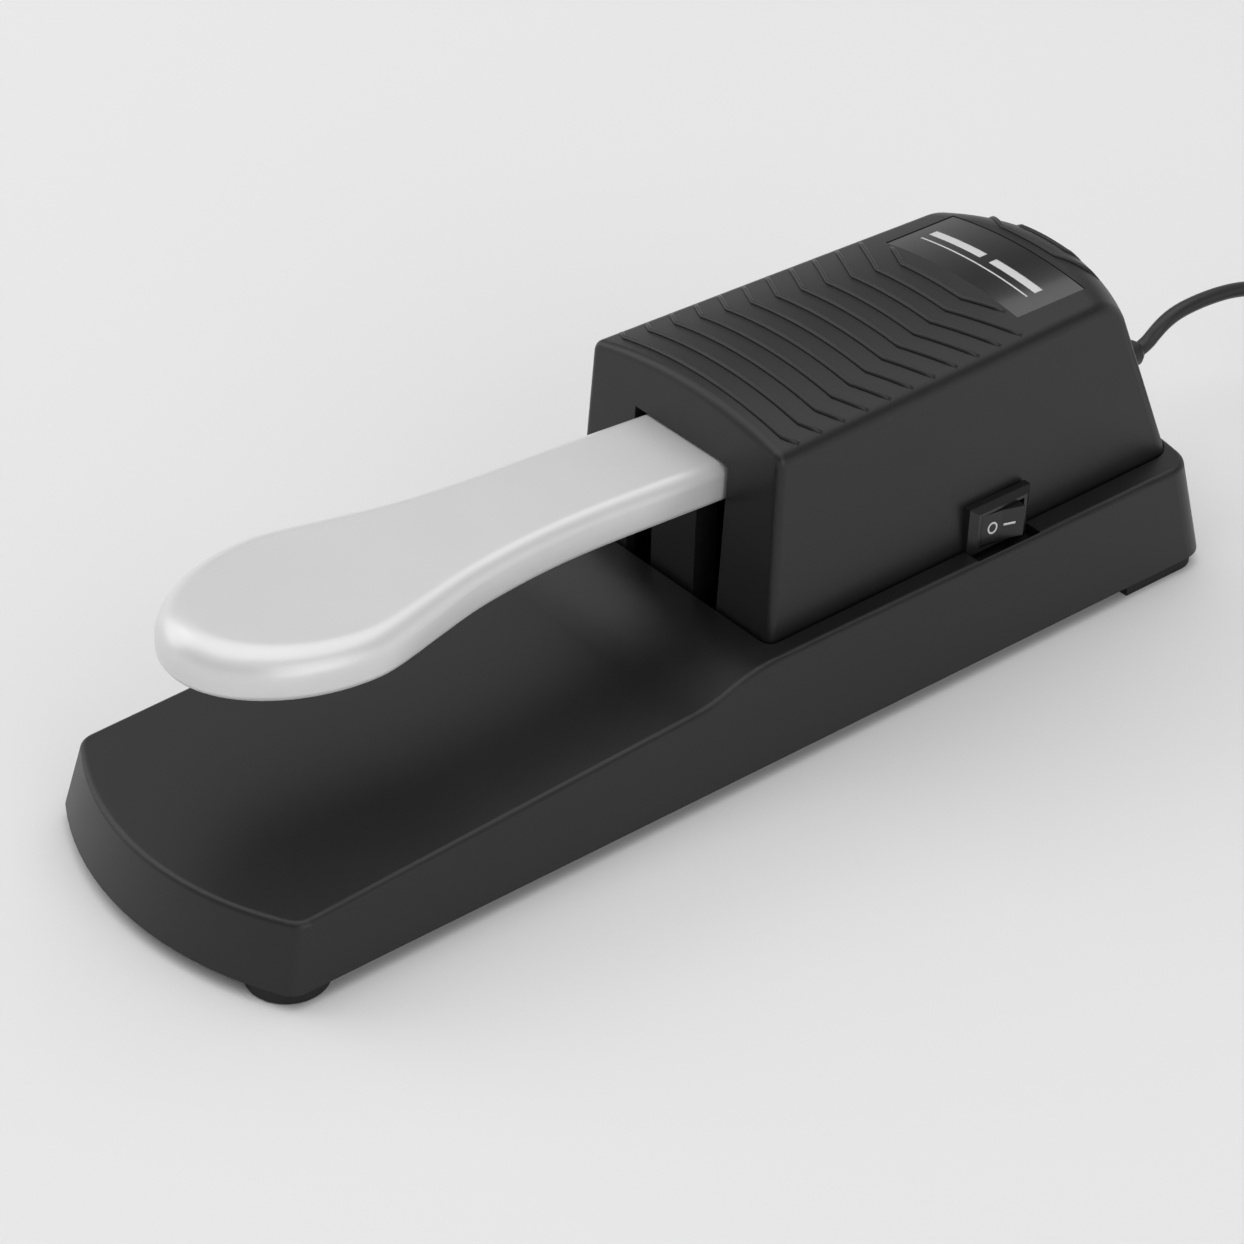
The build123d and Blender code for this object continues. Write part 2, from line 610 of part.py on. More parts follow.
def rocker_frame():
    """Rocker switch's frame and case."""
    foot = block(
        (SW_BACK, SW_STEP), (SW_Y - SW_FRAME_Y, SW_Y + SW_FRAME_Y), (SW_Z - SW_FRAME_Z, SW_Z + SW_FRAME_Z)
    )
    section = Plane(origin=(SW_STEP, SW_Y, SW_Z), x_dir=(0, 1, 0), z_dir=(1, 0, 0))
    low = section * Rectangle(2 * SW_FRAME_Y, 2 * SW_FRAME_Z)
    high = section.offset(SW_RIM - SW_STEP) * Rectangle(2 * SW_HOLE_Y + 1.6, 2 * SW_HOLE_Z + 1.4)
    body = foot + loft([low, high], ruled=True)
    body += block((SW_BACK - SW_DEPTH, SW_BACK), (SW_Y - 6.7, SW_Y + 6.7), (SW_Z - 4.8, SW_Z + 4.8))
    body -= block((22, 40), (SW_Y - SW_HOLE_Y, SW_Y + SW_HOLE_Y), (SW_Z - SW_HOLE_Z, SW_Z + SW_HOLE_Z))
    body -= post(KEY_PIVOT_X, SW_Y, (SW_Z - 4.6, SW_Z + 4.6), 0.8 + RUN_GAP)
    return body


def rocker_key():
    """Two-faced rocker at rest with its front end pressed in."""
    half, face, hump = 5.0, KEY_PIVOT_X + 2.0, 0.28
    outline = [
        (face + hump, SW_Y - half), (face - 0.1, SW_Y), (face + hump, SW_Y + half),
        (KEY_PIVOT_X, SW_Y + 4.7), (KEY_PIVOT_X - 2.6, SW_Y + 2.4), (KEY_PIVOT_X - 2.6, SW_Y - 2.4),
        (KEY_PIVOT_X, SW_Y - 4.7),
    ]
    section = Pos(0, 0, SW_Z) * make_face(Polyline(*outline, close=True))
    key = extrude(section, SW_HOLE_Z - 0.3, dir=(0, 0, 1), both=True)
    key += post(KEY_PIVOT_X, SW_Y, (SW_Z - 4.5, SW_Z + 4.5), 0.8)
    turn = Pos(KEY_PIVOT_X, SW_Y, 0) * Rot(0, 0, -KEY_TILT) * Pos(-KEY_PIVOT_X, -SW_Y, 0)
    return turn * key


def rocker_terminals():
    """Two blades behind the rocker switch."""
    back = SW_BACK - SW_DEPTH
    return Compound(children=[
        block((back - 5.5, back), (y - 1.6, y + 1.6), (SW_Z - 0.3, SW_Z + 0.3)) for y in (SW_Y - 3.6, SW_Y + 3.6)
    ])


def wire(points, bends, radius):
    """Round wire along straight runs joined by arcs."""
    path = FilletPolyline(*points, radius=bends)
    start = Plane(origin=path @ 0, z_dir=path % 0)
    return sweep(start * Circle(radius), path=path)


def switch_wires():
    """Hook-up wires from the rocker switch to the snap-action switch."""
    back, low = SW_BACK - SW_DEPTH - 5.5, 21.5
    wires = []
    for y_from, y_to, drop in ((SW_Y - 3.6, 58.0, 15.2), (SW_Y + 3.6, 71.0, 13.6)):
        points = [
            (back, y_from, SW_Z), (back - 2.2, y_from, SW_Z), (back - 2.2, y_from, drop + 4),
            (0, y_to, drop + 1), (0, y_to, low),
        ]
        wires.append(wire(points, 1.0, 0.55))
    return Compound(children=wires)


def lead_wires():
    """Cord's two cores from its clamp to the switch."""
    wires = []
    for side, y_to in ((-1, 49.0), (1, 71.0)):
        x = -15.0 + side * 0.9
        points = [(EXIT_X + side * 0.8, BOOT_SHOULDER - 9.5, EXIT_Z), (EXIT_X + side * 0.8, 101, EXIT_Z), (x, 99, 18), (x, y_to, 16)]
        points += [(-2.5, y_to, 17.2), (-0.81, y_to, 22.6)]
        wires.append(wire(points, 1.2, 0.55))
    return Compound(children=wires)


def strain_relief():
    """Tapered rubber boot; its flange follows the cover's rear wall, which grips its neck."""
    inner, wall_in = BOOT_SHOULDER - 9.5, BOOT_SHOULDER - 7.1
    outline = Polyline(
        (0, inner + 3), (3.9, inner + 3), (3.9, BOOT_SHOULDER + 0.5), (3.5, BOOT_SHOULDER + 3.2), (2.9, BOOT_END - 0.9),
        (2.35, BOOT_END), (0, BOOT_END), close=True,
    )
    body = Pos(EXIT_X, 0, EXIT_Z) * revolve(make_face(outline), Axis.Y) - cover_form(0)
    body += rod_y(EXIT_X, (wall_in, BOOT_SHOULDER + 1), EXIT_Z, BOOT_NECK_R)
    return body + rod_y(EXIT_X, (inner, wall_in), EXIT_Z, BOOT_NECK_R + 1.6)


LEAD_ROUTE = [
    (EXIT_X, BOOT_END, EXIT_Z), (EXIT_X, 137.2, 29.5), (EXIT_X, 139.7, 31.5), (EXIT_X, 142.6, 33.3),
    (EXIT_X, 146.4, 34.4), (EXIT_X, 151.5, 34.7), (EXIT_X, 157.5, 34.5), (0.2, 164.5, 33.7), (0.8, 172.0, 31.8),
    (2.2, 180.5, 28.0), (6.5, 187.8, 21.5), (14.5, 192.2, 14.8), (26.0, 192.85, 11.75),
]
TAIL_ROUTE = [
    (49.15, 216.0, 1.75), (49.0, 225.0, 1.75), (46.4, 234.6, 1.75), (40.8, 242.8, 2.0), (32.0, 248.2, 3.6),
    (PLUG_START_X + PLUG_BOOT, PLUG_AXIS_Y, HANDLE_R),
]


def cord_tube(name, route):
    """Tube of straight runs joined by arcs as large as the runs allow."""
    points = [Vector(*p) for p in route]
    radii = []
    for before, here, after in zip(points, points[1:], points[2:]):
        run_in, run_out = here - before, after - here
        turn = radians(run_in.get_angle(run_out))
        radii.append(0.45 * min(run_in.length, run_out.length) / tan(turn / 2))
    print(name, "radii", [round(r, 1) for r in radii])
    path = FilletPolyline(*points, radius=radii)
    tube = sweep(Plane(origin=path @ 0, z_dir=path % 0) * Circle(CORD_R), path=path)
    print(name, "volume", round(tube.volume, 1), "section x length", round(pi * CORD_R**2 * path.length, 1))
    return tube


def cord_coil():
    """Outer shape of the tied coil."""
    x, y = COIL_CENTRE
    ring = post(x, y, (0.1, COIL_H), COIL_MID_R + COIL_HALF_W) - post(x, y, (-1, 20), COIL_MID_R - COIL_HALF_W)
    return fillet(ring.edges(), 2.5)


def cord_tie():
    """Strap round the coil's bundle, on its left side."""
    x, y = COIL_CENTRE[0] - COIL_MID_R, COIL_CENTRE[1]
    half = COIL_HALF_W + 0.9
    strap = block((x - half, x + half), (y - 4, y + 4), (0, COIL_H + 0.9))
    return strap - block((x - half + 0.9, x + half - 0.9), (y - 5, y + 5), (0.1, COIL_H)) - cord_coil()


def plug_parts():
    """Phone plug lying behind the coil along X: handle, boot, sleeve, insulating ring and tip."""
    y, z = PLUG_AXIS_Y, HANDLE_R
    handle_end = PLUG_START_X - PLUG_HANDLE
    sleeve_end = handle_end - PLUG_SLEEVE
    ring_end = sleeve_end - PLUG_RING
    handle = rod_x((handle_end, PLUG_START_X), y, z, HANDLE_R)
    return {
        "plug_handle": fillet(handle.edges(), 1.2),
        "plug_boot": rod_x((PLUG_START_X, PLUG_START_X + PLUG_BOOT), y, z, 2.4),
        "plug_sleeve": rod_x((sleeve_end, handle_end), y, z, PLUG_R),
        "plug_insulator": rod_x((ring_end, sleeve_end), y, z, PLUG_R - 0.6),
        "plug_tip": rod_x((ring_end - PLUG_TIP, ring_end), y, z, PLUG_R - 0.2),
    }


def main():
    """Make every node."""
    save("base_shell", base_shell())
    save("bottom_plate", bottom_plate())
    save("bottom_plate_screws", bottom_plate_screws())
    for side, (x, y) in FOOT_PLACES.items():
        save("front_foot_" + side, front_foot(x, y))
    save("rear_foot_pad", rear_foot_pad())
    save("top_cover", top_cover())
    save("cover_screws", cover_screws())
    save("label_plate", label_plate())
    save("pedal_lever", pedal_lever())
    save("lever_bush_left", lever_bush(-1))
    save("lever_bush_right", lever_bush(1))
    save("spring_guide", spring_guide())
    save("plunger_pad", plunger_pad())
    save("pivot_bracket", pivot_bracket())
    save("bracket_screws", screws_down(BRACKET_SCREWS, DECK_TOP + PLATE_T, 6))
    save("pivot_pin", pivot_pin())
    save("pin_rings", pin_rings())
    save("return_spring", return_spring())
    save("spring_seat", spring_seat())
    save("down_stop_post", down_stop_post())
    save("post_screw", screws_down(POST_SCREWS, DECK_TOP + 2.4, 6))
    save("down_stop_felt", down_stop_felt())
    save("up_stop_felt", up_stop_felt())
    save("microswitch_case", micro_body())
    save("microswitch_plunger", micro_plunger())
    save("microswitch_terminals", micro_terminals())
    save("microswitch_plate", switch_plate())
    save("microswitch_screws", micro_screws())
    save("microswitch_nuts", micro_nuts())
    save("plate_screws", screws_down(PLATE_SCREWS, DECK_TOP + PLATE_T, 6))
    save("rocker_frame", rocker_frame())
    save("rocker_key", rocker_key())
    save("rocker_terminals", rocker_terminals())
    save("switch_wires", switch_wires())
    save("lead_wires", lead_wires())
    save("strain_relief", strain_relief())
    save("cord_lead", cord_tube("lead", LEAD_ROUTE))
    save("cord_tail", cord_tube("tail", TAIL_ROUTE))
    save("cord_coil", cord_coil())
    save("cord_tie", cord_tie())
    for name, shape in plug_parts().items():
        save(name, shape)


main()
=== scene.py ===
import json
from math import ceil, cos, pi, radians, sin

import bmesh
import bpy
from mathutils import Matrix, Vector
from mathutils.bvhtree import BVHTree


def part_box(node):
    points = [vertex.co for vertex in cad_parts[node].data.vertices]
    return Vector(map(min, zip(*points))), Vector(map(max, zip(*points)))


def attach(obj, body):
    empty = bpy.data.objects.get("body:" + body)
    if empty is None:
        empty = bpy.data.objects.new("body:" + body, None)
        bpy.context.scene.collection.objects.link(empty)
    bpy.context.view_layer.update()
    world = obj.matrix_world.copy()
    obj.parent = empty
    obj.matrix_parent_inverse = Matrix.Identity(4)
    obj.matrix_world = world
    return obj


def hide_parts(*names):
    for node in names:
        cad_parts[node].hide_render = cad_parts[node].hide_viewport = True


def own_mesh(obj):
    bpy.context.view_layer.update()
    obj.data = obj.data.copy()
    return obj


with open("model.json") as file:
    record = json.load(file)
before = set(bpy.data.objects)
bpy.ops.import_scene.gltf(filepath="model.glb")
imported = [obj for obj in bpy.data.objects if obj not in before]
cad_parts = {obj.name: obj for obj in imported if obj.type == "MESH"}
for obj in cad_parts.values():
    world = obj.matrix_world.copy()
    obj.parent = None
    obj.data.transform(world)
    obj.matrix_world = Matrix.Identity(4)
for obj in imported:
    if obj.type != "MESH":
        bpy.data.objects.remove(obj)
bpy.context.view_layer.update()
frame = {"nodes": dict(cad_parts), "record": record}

# Sustain pedal: looks. Metres, in the frame's own axes: -Y is the paddle's end, +X the rocker switch's side.
# Small sizes are written in millimetres and multiplied by MM.

MM = 0.001
nodes = frame["nodes"]


def link(tree, out_node, out_name, in_node, in_name):
    """Joins one shader node's output to another's input."""
    tree.links.new(out_node.outputs[out_name], in_node.inputs[in_name])


# ---------------------------------------------------------------- camera, floor and light

CAMERA_PLACE = (0.45598, -0.40198, 0.43642)
CAMERA_AZIMUTH = 49.234
CAMERA_ELEVATION = 34.737
CAMERA_ROLL = 1.747
CAMERA_LENS = 108.47
SENSOR_WIDTH = 36           # millimetres, like the lens
FLOOR_HALF = 6.0
FLOOR_GREY = 0.8
SKY_LEVELS = [(0.25, 0.5), (0.55, 0.13), (0.8, 0.6)]    # (height of the direction, brightness)
SKY_HORIZON = 0.95
SKY_ZENITH = 0.8
LIGHTS = [
    ("over", (-0.5, 0.3, 2.5), (0, 0, 0.03), 3.6, 36),
    ("left", (-1.3, -0.7, 0.9), (0, -0.02, 0.04), 1.2, 7),
    ("right", (1.4, -0.2, 0.6), (0, 0, 0.04), 1.2, 6),
]                           # (name, place, aim, size, power)


def make_camera():
    """Camera at the reference view, with its roll about its own axis."""
    a, e, r = radians(CAMERA_AZIMUTH), radians(CAMERA_ELEVATION), radians(CAMERA_ROLL)
    back = Vector((sin(a) * cos(e), -cos(a) * cos(e), sin(e)))
    level = Vector((cos(a), sin(a), 0))
    upright = back.cross(level)
    right = level * cos(r) + upright * sin(r)
    up = upright * cos(r) - level * sin(r)
    data = bpy.data.cameras.new("camera")
    data.lens = CAMERA_LENS
    data.sensor_width = SENSOR_WIDTH
    data.clip_start = 0.01
    camera = bpy.data.objects.new("camera", data)
    camera.matrix_world = Matrix.Translation(CAMERA_PLACE) @ Matrix((right, up, back)).transposed().to_4x4()
    bpy.context.scene.collection.objects.link(camera)
    bpy.context.scene.camera = camera


def area_light(name, place, aim, size, power):
    """Soft square light that points at a place."""
    data = bpy.data.lights.new(name, "AREA")
    data.size = size
    data.energy = power
    light = bpy.data.objects.new(name, data)
    way = Vector(aim) - Vector(place)
    light.matrix_world = Matrix.Translation(place) @ way.to_track_quat("-Z", "Y").to_matrix().to_4x4()
    bpy.context.scene.collection.objects.link(light)


def make_studio():
    """Pale floor, a soft sky that is darkest at mid height, and large soft lights."""
    mesh = bpy.data.meshes.new("floor")
    half = FLOOR_HALF
    corners = [(-half, -half, 0), (half, -half, 0), (half, half, 0), (-half, half, 0)]
    mesh.from_pydata(corners, [], [(0, 1, 2, 3)])
    floor = bpy.data.objects.new("floor", mesh)
    bpy.context.scene.collection.objects.link(floor)
    paint = bpy.data.materials.new("floor")
    paint.use_nodes = True
    shader = paint.node_tree.nodes["Principled BSDF"]
    shader.inputs["Base Color"].default_value = (FLOOR_GREY, FLOOR_GREY, FLOOR_GREY, 1)
    shader.inputs["Roughness"].default_value = 0.9
    shader.inputs["Specular IOR Level"].default_value = 0.1
    mesh.materials.append(paint)

    world = bpy.data.worlds.new("studio")
    world.use_nodes = True
    bpy.context.scene.world = world
    tree = world.node_tree
    where = tree.nodes.new("ShaderNodeTexCoord")
    split = tree.nodes.new("ShaderNodeSeparateXYZ")
    ramp = tree.nodes.new("ShaderNodeValToRGB")
    ramp.color_ramp.elements[0].color = (SKY_HORIZON, SKY_HORIZON, SKY_HORIZON, 1)
    ramp.color_ramp.elements[1].color = (SKY_ZENITH, SKY_ZENITH, SKY_ZENITH, 1)
    for height, level in SKY_LEVELS:
        middle = ramp.color_ramp.elements.new(height)
        middle.color = (level, level, level, 1)
    link(tree, where, "Generated", split, "Vector")
    link(tree, split, "Z", ramp, "Fac")
    link(tree, ramp, "Color", tree.nodes["Background"], "Color")

    for light in LIGHTS:
        area_light(*light)
    bpy.context.scene.view_settings.view_transform = "Standard"


# ---------------------------------------------------------------- materials

COAT_ROUGH = 0.08
BUMP_STRENGTH = 0.6
MOTTLE_SCALE = 60           # blotches per metre, roughly


def surface(
    name, color, rough, metallic=0.0, specular=0.5, grain=0.3, depth=0.02, mottle=0.12, coat=0.0,
    stretch=(1, 1, 1),
):
    """Procedural finish. The bump has its grain and depth in millimetres; mottle varies colour and gloss."""
    paint = bpy.data.materials.new(name)
    paint.use_nodes = True
    tree = paint.node_tree
    shader = tree.nodes["Principled BSDF"]
    shader.inputs["Metallic"].default_value = metallic
    shader.inputs["Specular IOR Level"].default_value = specular
    shader.inputs["Coat Weight"].default_value = coat
    shader.inputs["Coat Roughness"].default_value = COAT_ROUGH
    where = tree.nodes.new("ShaderNodeTexCoord")
    scale = tree.nodes.new("ShaderNodeMapping")
    scale.inputs["Scale"].default_value = stretch
    link(tree, where, "Object", scale, "Vector")

    fine = tree.nodes.new("ShaderNodeTexNoise")
    fine.inputs["Scale"].default_value = 1 / (grain * MM)
    fine.inputs["Detail"].default_value = 3
    link(tree, scale, "Vector", fine, "Vector")
    bump = tree.nodes.new("ShaderNodeBump")
    bump.inputs["Strength"].default_value = BUMP_STRENGTH
    bump.inputs["Distance"].default_value = depth * MM
    link(tree, fine, "Fac", bump, "Height")
    link(tree, bump, "Normal", shader, "Normal")

    broad = tree.nodes.new("ShaderNodeTexNoise")
    broad.inputs["Scale"].default_value = MOTTLE_SCALE
    broad.inputs["Detail"].default_value = 4
    link(tree, scale, "Vector", broad, "Vector")
    tint = tree.nodes.new("ShaderNodeValToRGB")
    tint.color_ramp.elements[0].color = (*[c * (1 - mottle) for c in color], 1)
    tint.color_ramp.elements[1].color = (*[min(1, c * (1 + mottle)) for c in color], 1)
    link(tree, broad, "Fac", tint, "Fac")
    link(tree, tint, "Color", shader, "Base Color")
    gloss = tree.nodes.new("ShaderNodeMapRange")
    gloss.inputs["To Min"].default_value = rough * (1 - mottle)
    gloss.inputs["To Max"].default_value = rough * (1 + mottle)
    link(tree, broad, "Fac", gloss, "Value")
    link(tree, gloss, "Result", shader, "Roughness")
    return paint


def woven(name, color, pitch):
    """Woven strap or dense felt: a rough surface with a deep fine bump and a little sheen."""
    paint = surface(name, color, 0.85, specular=0.2, grain=pitch, depth=0.08, mottle=0.25)
    shader = paint.node_tree.nodes["Principled BSDF"]
    shader.inputs["Sheen Weight"].default_value = 0.4
    return paint


FINISHES = {
    "black_plastic": surface(
        "black_plastic", (0.0085, 0.0085, 0.009), 0.40, specular=0.42, grain=0.35, depth=0.012
    ),
    "label_gloss": surface("label_gloss", (0.014, 0.014, 0.015), 0.16, grain=2.0, depth=0.004, coat=0.5),
    "chrome": surface(
        "chrome", (0.70, 0.70, 0.70), 0.33, metallic=0.25, specular=0.4, grain=6, depth=0.004, mottle=0.03
    ),
    "zinc_steel": surface(
        "zinc_steel", (0.50, 0.51, 0.53), 0.38, metallic=1, grain=0.5, depth=0.01, mottle=0.15
    ),
    "screw_steel": surface(
        "screw_steel", (0.42, 0.42, 0.44), 0.3, metallic=1, grain=0.4, depth=0.006, mottle=0.15
    ),
    "bright_steel": surface(
        "bright_steel", (0.6, 0.6, 0.62), 0.18, metallic=1, grain=0.2, depth=0.004, stretch=(0.05, 1, 1)
    ),
    "spring_steel": surface("spring_steel", (0.36, 0.37, 0.39), 0.27, metallic=1, grain=0.3, depth=0.006),
    "rubber": surface("rubber", (0.013, 0.013, 0.013), 0.72, specular=0.3, grain=0.5, depth=0.03, mottle=0.2),
    "nylon": surface("nylon", (0.72, 0.70, 0.62), 0.45, grain=0.6, depth=0.01),
    "felt": woven("felt", (0.12, 0.12, 0.13), 0.35),
    "switch_case": surface("switch_case", (0.03, 0.03, 0.034), 0.5, grain=0.4, depth=0.01),
    "plunger_red": surface("plunger_red", (0.45, 0.03, 0.025), 0.35, grain=0.5, depth=0.006),
    "brass": surface("brass", (0.72, 0.56, 0.27), 0.3, metallic=1, grain=0.4, depth=0.006),
    "switch_black": surface(
        "switch_black", (0.012, 0.012, 0.012), 0.3, specular=0.45, grain=0.6, depth=0.006
    ),
    "wire_red": surface("wire_red", (0.42, 0.03, 0.02), 0.4, grain=0.6, depth=0.008),
    "wire_white": surface("wire_white", (0.68, 0.68, 0.64), 0.4, grain=0.6, depth=0.008),
    "cord_rubber": surface(
        "cord_rubber", (0.014, 0.014, 0.0145), 0.42, specular=0.45, grain=0.8, depth=0.012
    ),
    "tie_black": woven("tie_black", (0.02, 0.02, 0.02), 0.4),
    "plug_black": surface("plug_black", (0.013, 0.013, 0.013), 0.33, specular=0.45, grain=0.5, depth=0.006),
    "nickel": surface("nickel", (0.68, 0.66, 0.62), 0.15, metallic=1, grain=0.4, depth=0.003),
    "insulator": surface("insulator", (0.01, 0.01, 0.01), 0.35, grain=0.4, depth=0.004),
    "mark_white": surface("mark_white", (0.62, 0.62, 0.62), 0.45, grain=0.3, depth=0.004, mottle=0.05),
}


def paint_nodes():
    """Every CAD node takes the finish of its own slot."""
    for part in frame["record"]["subparts"]:
        node = nodes[part["node"]]
        node.data.materials.clear()
        node.data.materials.append(FINISHES[part["material_slot"]])


# ---------------------------------------------------------------- mesh helpers

def place_piece(name, mesh, slot, body):
    """Object for a mesh, with its finish, that rides on a body."""
    piece = bpy.data.objects.new(name, mesh)
    bpy.context.scene.collection.objects.link(piece)
    mesh.materials.append(FINISHES[slot])
    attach(piece, body)
    return piece


def make_piece(name, points, faces, slot, body="root"):
    """Smooth mesh piece that rides on a body, with its normals made consistent."""
    mesh = bpy.data.meshes.new(name)
    mesh.from_pydata([tuple(p) for p in points], [], faces)
    work = bmesh.new()
    work.from_mesh(mesh)
    bmesh.ops.remove_doubles(work, verts=work.verts, dist=1e-6)
    bmesh.ops.recalc_face_normals(work, faces=work.faces)
    work.to_mesh(mesh)
    work.free()
    for face in mesh.polygons:
        face.use_smooth = True
    return place_piece(name, mesh, slot, body)


def copy_of(node, name, slot, body):
    """New piece with a CAD node's shape."""
    mesh = nodes[node].data.copy()
    mesh.transform(nodes[node].matrix_world)
    mesh.materials.clear()
    return place_piece(name, mesh, slot, body)


def join_rings(rings, closed=True, caps=True):
    """Points and faces of a skin over rings that have the same count."""
    points = [p for ring in rings for p in ring]
    count = len(rings[0])
    faces = []
    for row in range(len(rings) - 1):
        for k in range(count if closed else count - 1):
            nxt = (k + 1) % count
            faces.append((row * count + k, row * count + nxt, (row + 1) * count + nxt, (row + 1) * count + k))
    if caps:
        faces.append(tuple(range(count)))
        faces.append(tuple(range(len(points) - count, len(points))))
    return points, faces


LATHE_STEPS = 64


def lathe_x(name, profile, y, z, slot):
    """Turned piece about an axis along X. profile is (x, radius) in metres from one end to the other."""
    turns = [2 * pi * k / LATHE_STEPS for k in range(LATHE_STEPS)]
    rings = [[(x, y + radius * cos(a), z + radius * sin(a)) for a in turns] for x, radius in profile]
    points, faces = join_rings(rings)
    return make_piece(name, points, faces, slot)


# ---------------------------------------------------------------- ribs and label on the crown

ABOVE_CROWN = 100 * MM
crown_tree = BVHTree.FromObject(nodes["top_cover"], bpy.context.evaluated_depsgraph_get())


def on_crown(x, y):
    """Place and outward direction on the cover straight under (x, y)."""
    place, normal, _, _ = crown_tree.ray_cast(Vector((x, y, ABOVE_CROWN)), Vector((0, 0, -1)))
    return place, normal


def spaced(route, step):
    """Route's points with more of them along each straight run."""
    out = [Vector(route[0])]
    for a, b in zip(route, route[1:]):
        a, b = Vector(a), Vector(b)
        count = max(1, ceil((b - a).length / step))
        out += [a.lerp(b, k / count) for k in range(1, count + 1)]
    return out


RIB_WIDTH = 1.25 * MM
RIB_HEIGHT = 0.6 * MM
RIB_SIDES = 7
RIB_SLOPE = 0.575
RIB_STEP = 0.8 * MM
RIB_END_STEPS = 3
RIB_END_HEIGHT = 0.25       # share of the full height at a rib's very end
RIB_SINK = 0.03 * MM
RIB_ROOT = 0.25 * MM
WHOLE_RIBS = 11
RIB_FIRST_Y = 9.4
RIB_PITCH = 5.5
RIB_KNEE = (23.0, 1.3)      # first rib's knee, and how much nearer the middle each next one is
RIB_END = (26.0, 0.25)      # the same for its ends
REAR_RIBS = [(69.9, 8.6, 16.4), (97.0, 7.7, 15.8), (101.6, 6.3, 9.0)]      # (knee's y, knee's x, end's x)


def rib_piece(name, route):
    """Low rounded ridge that follows the crown, with ends that run out."""
    flat = spaced(route, RIB_STEP)
    total = len(flat) - 1
    rings = []
    for k, here in enumerate(flat):
        before, after = flat[max(k - 1, 0)], flat[min(k + 1, total)]
        along = (after - before).normalized()
        side = Vector((-along.y, along.x))
        end = min(k, total - k) / RIB_END_STEPS
        grow = min(1.0, RIB_END_HEIGHT + (1 - RIB_END_HEIGHT) * end)
        ring = []
        for j in range(RIB_SIDES):
            t = j / (RIB_SIDES - 1) * 2 - 1
            spot = here + side * (t * RIB_WIDTH / 2)
            place, normal = on_crown(spot.x, spot.y)
            ring.append(place + normal * (RIB_HEIGHT * grow * cos(t * pi / 2) - RIB_SINK))
        place, normal = on_crown(here.x, here.y)
        ring.append(place - normal * RIB_ROOT)
        rings.append(ring)
    points, faces = join_rings(rings)
    make_piece(name, points, faces, "black_plastic")


def rib_route(knee_y, knee_x, end_x):
    """Chevron: a straight middle and two legs swept back."""
    half = [(knee_x, knee_y), (end_x, knee_y + (end_x - knee_x) * RIB_SLOPE)]
    route = [(-x, y) for x, y in reversed(half)] + half
    return [Vector((x * MM, y * MM)) for x, y in route]


def make_ribs():
    """Eleven whole ribs, one that the label trims, and two behind the label."""
    shapes = [
        (RIB_FIRST_Y + RIB_PITCH * k, RIB_KNEE[0] - RIB_KNEE[1] * k, RIB_END[0] - RIB_END[1] * k)
        for k in range(WHOLE_RIBS)
    ]
    for k, shape in enumerate(shapes + REAR_RIBS):
        rib_piece(f"rib_{k + 1:02d}", rib_route(*shape))


PATCH_COLUMNS = 24
PATCH_ROWS = 6
MARK_LIFT = 0.68 * MM       # mark's top over the cover's pocket, just above the label plate
MARK_THICK = 0.05 * MM


def crown_mark(name, x_span, y_span):
    """Thin white plate that follows the crown and stands on the label."""
    columns, rows = PATCH_COLUMNS, PATCH_ROWS
    tops, lows = [], []
    for j in range(rows + 1):
        for i in range(columns + 1):
            x = x_span[0] + (x_span[1] - x_span[0]) * i / columns
            y = y_span[0] + (y_span[1] - y_span[0]) * j / rows
            place, normal = on_crown(x, y)
            tops.append(place + normal * MARK_LIFT)
            lows.append(place + normal * (MARK_LIFT - MARK_THICK))
    stride = columns + 1
    points = tops + lows
    base = len(tops)
    faces = []
    for j in range(rows):
        for i in range(columns):
            a = j * stride + i
            faces.append((a, a + 1, a + stride + 1, a + stride))
            faces.append((base + a, base + a + stride, base + a + stride + 1, base + a + 1))
    rim = list(range(stride))
    rim += [j * stride + columns for j in range(1, rows + 1)]
    rim += [rows * stride + i for i in range(columns - 1, -1, -1)]
    rim += [j * stride for j in range(rows - 1, 0, -1)]
    for a, b in zip(rim, rim[1:] + rim[:1]):
        faces.append((a, b, base + b, base + a))
    make_piece(name, points, faces, "mark_white")


def make_label_marks():
    """Plain light bars where the label is printed."""
    for name, x_span, y_span in (
        ("label_bar_1", (-15.5, -1.0), (84.1, 86.3)),
        ("label_bar_2", (1.6, 14.8), (84.1, 86.3)),
        ("label_line", (-15.5, 14.8), (81.7, 82.1)),
    ):
        crown_mark(name, [x * MM for x in x_span], [y * MM for y in y_span])


# ---------------------------------------------------------------- rocker's marks

MARK_PROUD = 0.05 * MM
MARK_SKIN = 0.06 * MM
RING_STEPS = 48
RING_AT = 0.27              # share of the key's length
RING_RADII = (0.95 * MM, 1.175 * MM, 1.4 * MM)
RING_SQUEEZE = 0.85
BAR_AT = 0.66
BAR_LENGTH = 2.6 * MM
BAR_ROWS = 8
BAR_ACROSS = (-0.25 * MM, 0, 0.25 * MM)


